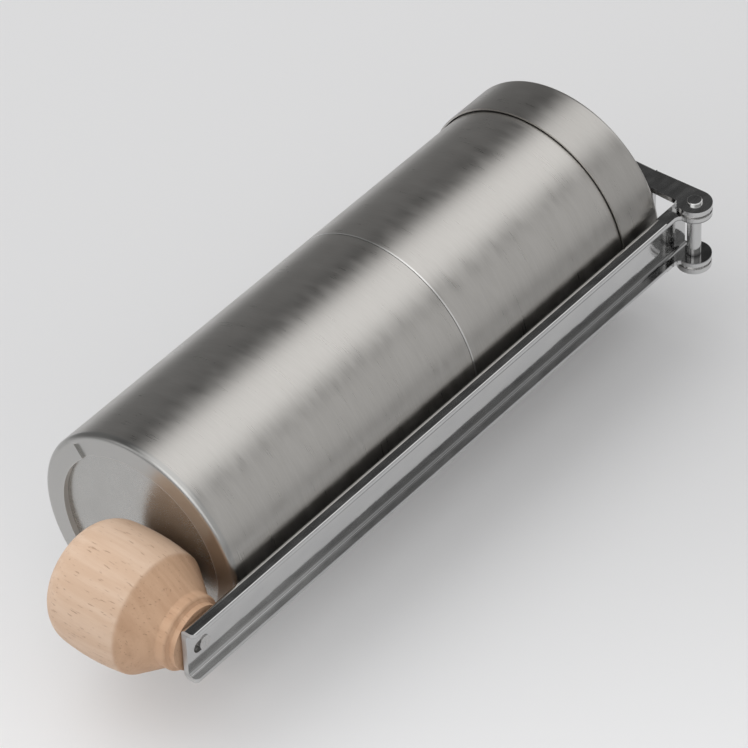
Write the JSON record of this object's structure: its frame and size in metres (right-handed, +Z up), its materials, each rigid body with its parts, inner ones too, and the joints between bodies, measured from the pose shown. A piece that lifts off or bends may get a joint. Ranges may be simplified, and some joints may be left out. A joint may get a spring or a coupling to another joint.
{
  "type": "manual coffee grinder",
  "caption": "Slim brushed steel hand coffee grinder lying on its side, its crank folded along the body so that the turned wooden knob nests under the base",
  "frame": {"origin": "on the floor under the middle of the lying grinder's length and width", "axes": "+X along the body's axis from the base towards the lid, -Y towards the folded handle, +Z up, parallel to the folding hinge's pin"},
  "size_m": [0.1802, 0.0642, 0.0544],
  "materials": {
    "brushed_steel": "fine circumferential brushing, satin",
    "polished_steel": "mirror polished stainless sheet",
    "bright_steel": "turned or ground bright",
    "ceramic": "unglazed white technical ceramic",
    "black_plastic": "moulded, glass filled, matt",
    "acetal": "turned natural acetal",
    "rubber": "soft silicone rubber",
    "beech": "turned beech, oiled, open pore flecks",
    "brass": "turned"
  },
  "bodies": {
    "body": {"hopper_tube": "brushed_steel", "burr_carrier": "black_plastic", "cup_seal": "rubber", "outer_burr": "ceramic", "burr_clamp_ring": "bright_steel", "lower_bush": "acetal", "upper_bracket": "black_plastic", "upper_bush": "acetal"},
    "cup": {"grounds_cup": "brushed_steel", "cup_base": "brushed_steel", "cup_collar": "black_plastic"},
    "lid": {"lid": "brushed_steel", "lid_gasket": "rubber", "lid_grommet": "black_plastic"},
    "crank": {"drive_shaft": "bright_steel", "shaft_clip": "bright_steel", "burr_spring": "bright_steel", "crank_arm": "polished_steel", "crank_hub": "bright_steel", "hinge_pin": "polished_steel", "hinge_washers": "bright_steel"},
    "burr": {"inner_burr": "ceramic", "burr_core": "black_plastic", "spring_washer": "bright_steel", "click_plate": "bright_steel"},
    "nut": {"adjust_nut": "black_plastic"},
    "handle": {"handle_channel": "polished_steel"},
    "axle": {"knob_axle": "bright_steel", "knob_washer": "bright_steel"},
    "knob": {"knob": "beech", "knob_bush": "brass"}
  },
  "joints": [
    {"name": "cup_twist", "type": "hinge", "parent": "body", "child": "cup", "pos_m": [0, 0.0049, 0.0272], "axis": [-1, 0, 0], "range_deg": [0, 360]},
    {"name": "lid_turn", "type": "hinge", "parent": "body", "child": "lid", "pos_m": [0, 0.0049, 0.0272], "axis": [1, 0, 0], "continuous": true},
    {"name": "crank_spin", "type": "hinge", "parent": "body", "child": "crank", "pos_m": [0, 0.0049, 0.0272], "axis": [1, 0, 0], "continuous": true},
    {"name": "burr_gap", "type": "slide", "parent": "crank", "child": "burr", "axis": [-1, 0, 0], "range_m": [0, 0.0008], "deforming": ["burr_spring"]},
    {"name": "adjust_turn", "type": "hinge", "parent": "burr", "child": "nut", "pos_m": [0, 0.0049, 0.0272], "axis": [-1, 0, 0], "range_deg": [0, 360]},
    {"name": "handle_fold", "type": "hinge", "parent": "crank", "child": "handle", "pos_m": [0.0861, -0.0281, 0.0272], "axis": [0, 0, 1], "range_deg": [0, 90]},
    {"name": "knob_slide", "type": "slide", "parent": "handle", "child": "axle", "axis": [-1, 0, 0], "range_m": [0, 0.0017]},
    {"name": "knob_spin", "type": "hinge", "parent": "axle", "child": "knob", "pos_m": [-0.0755, 0, 0.0272], "axis": [0, 1, 0], "continuous": true}
  ],
  "couplings": [
    {"joint": "adjust_turn", "follows": "burr_gap", "rad_per_m": 7854}
  ]
}
